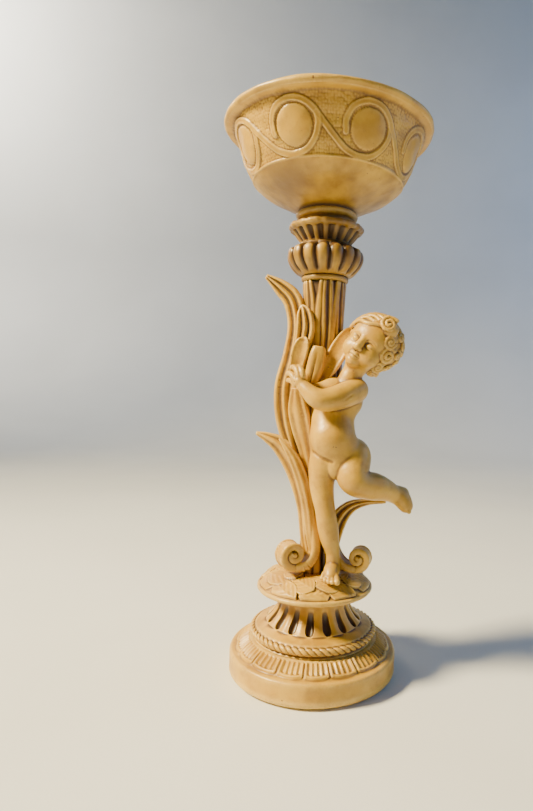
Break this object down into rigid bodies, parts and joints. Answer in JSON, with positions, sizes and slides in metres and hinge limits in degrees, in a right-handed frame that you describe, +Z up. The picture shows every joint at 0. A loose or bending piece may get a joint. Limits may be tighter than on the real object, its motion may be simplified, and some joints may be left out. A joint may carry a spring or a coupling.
{
  "type": "resin angel figurine",
  "caption": "Standing figurine: a child leans on a leafy stem that carries an open footed bowl above a round moulded base.",
  "frame": {"origin": "middle of the foot's underside, on the table", "axes": "+Z up along the tie rod, -Y towards the side that the child's chest faces, +X towards the child's lifted foot"},
  "size_m": [0.1074, 0.1074, 0.2822],
  "materials": {
    "resin": "cast ivory resin, satin, with a brown antique wash in the hollows",
    "felt": "dark green felt",
    "steel": "zinc-plated"
  },
  "bodies": {
    "root": {"felt_pad": "felt", "base_plinth": "resin", "fluted_pedestal": "resin", "leafy_mound": "resin", "reeded_stem": "resin", "tall_leaf": "resin", "lobe_leaf": "resin", "curled_leaf": "resin", "bud_leaf": "resin", "head_leaf": "resin", "inner_blade": "resin", "low_leaf": "resin", "low_blade": "resin", "cradle_leaf": "resin", "rear_leaf": "resin", "rear_blade": "resin", "left_scroll": "resin", "right_scroll": "resin", "rear_scroll": "resin", "putto": "resin", "foot_pin": "steel", "capital": "resin", "drip_collar": "resin", "bowl": "resin", "tie_rod": "steel", "clamp_washer": "steel", "clamp_nut": "steel"}
  },
  "joints": []
}
